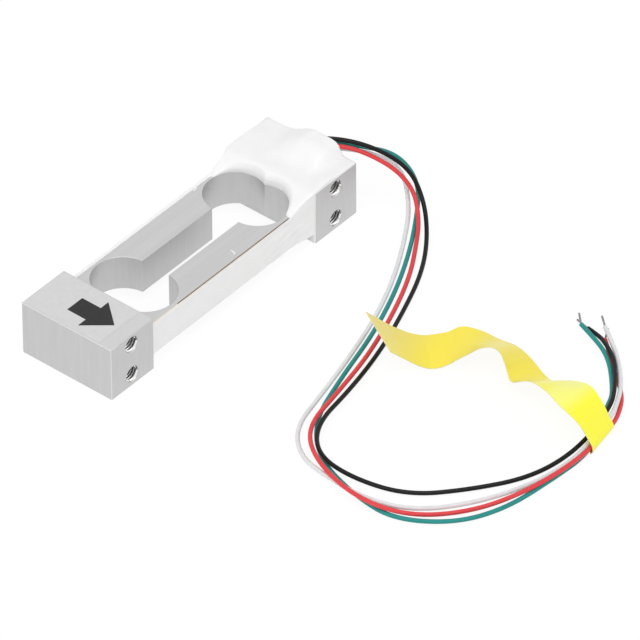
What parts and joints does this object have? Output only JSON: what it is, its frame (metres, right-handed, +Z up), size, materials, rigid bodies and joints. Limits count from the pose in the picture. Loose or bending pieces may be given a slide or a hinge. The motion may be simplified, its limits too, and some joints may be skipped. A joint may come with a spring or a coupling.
{
  "type": "strain gauge load cell",
  "caption": "Aluminium single-point load cell with a milled cut-out, tapped mounting holes, white sealant and four bare-ended wire leads.",
  "frame": {"origin": "on the surface that the cell lies on, under the middle of the spring element", "axes": "+X along the spring element, from the block with the arrow to the block that the leads leave; -Y the way the arrow and the load point; +Z up, away from the surface it lies on"},
  "size_m": [0.1495, 0.1839, 0.0273],
  "materials": {
    "aluminium": "milled, fine tool marks",
    "label_film": "thin clear-grey film",
    "arrow_ink": "printed black",
    "gauge_film": "amber polyimide",
    "gauge_foil": "etched constantan foil",
    "strip_film": "brown polyimide",
    "enamelled_copper": "clear enamel",
    "board": "glass-epoxy board",
    "resistor": "ceramic chip",
    "solder": "bright solder",
    "insulation_black": "smooth",
    "insulation_red": "smooth",
    "insulation_green": "smooth",
    "insulation_white": "smooth",
    "tinned_strands": "twisted tinned copper",
    "white_silicone": "soft satin",
    "yellow_tape": "thin glossy tape"
  },
  "bodies": {
    "root": {"spring_element": "aluminium", "direction_label": "label_film", "arrow_mark": "arrow_ink", "gauge_carrier_front_near": "gauge_film", "gauge_grid_front_near": "gauge_foil", "gauge_carrier_front_far": "gauge_film", "gauge_grid_front_far": "gauge_foil", "flex_strip_front": "strip_film", "bridge_wires_front": "enamelled_copper", "gauge_carrier_rear_near": "gauge_film", "gauge_grid_rear_near": "gauge_foil", "gauge_carrier_rear_far": "gauge_film", "gauge_grid_rear_far": "gauge_foil", "flex_strip_rear": "strip_film", "bridge_wires_rear": "enamelled_copper", "terminal_board": "board", "trim_resistor_1": "resistor", "trim_resistor_2": "resistor", "trim_resistor_3": "resistor", "solder_joints": "solder", "lead_black": "insulation_black", "lead_red": "insulation_red", "lead_green": "insulation_green", "lead_white": "insulation_white", "bare_tip_black": "tinned_strands", "bare_tip_red": "tinned_strands", "bare_tip_green": "tinned_strands", "bare_tip_white": "tinned_strands", "sealant": "white_silicone", "marker_tape": "yellow_tape"}
  },
  "joints": []
}
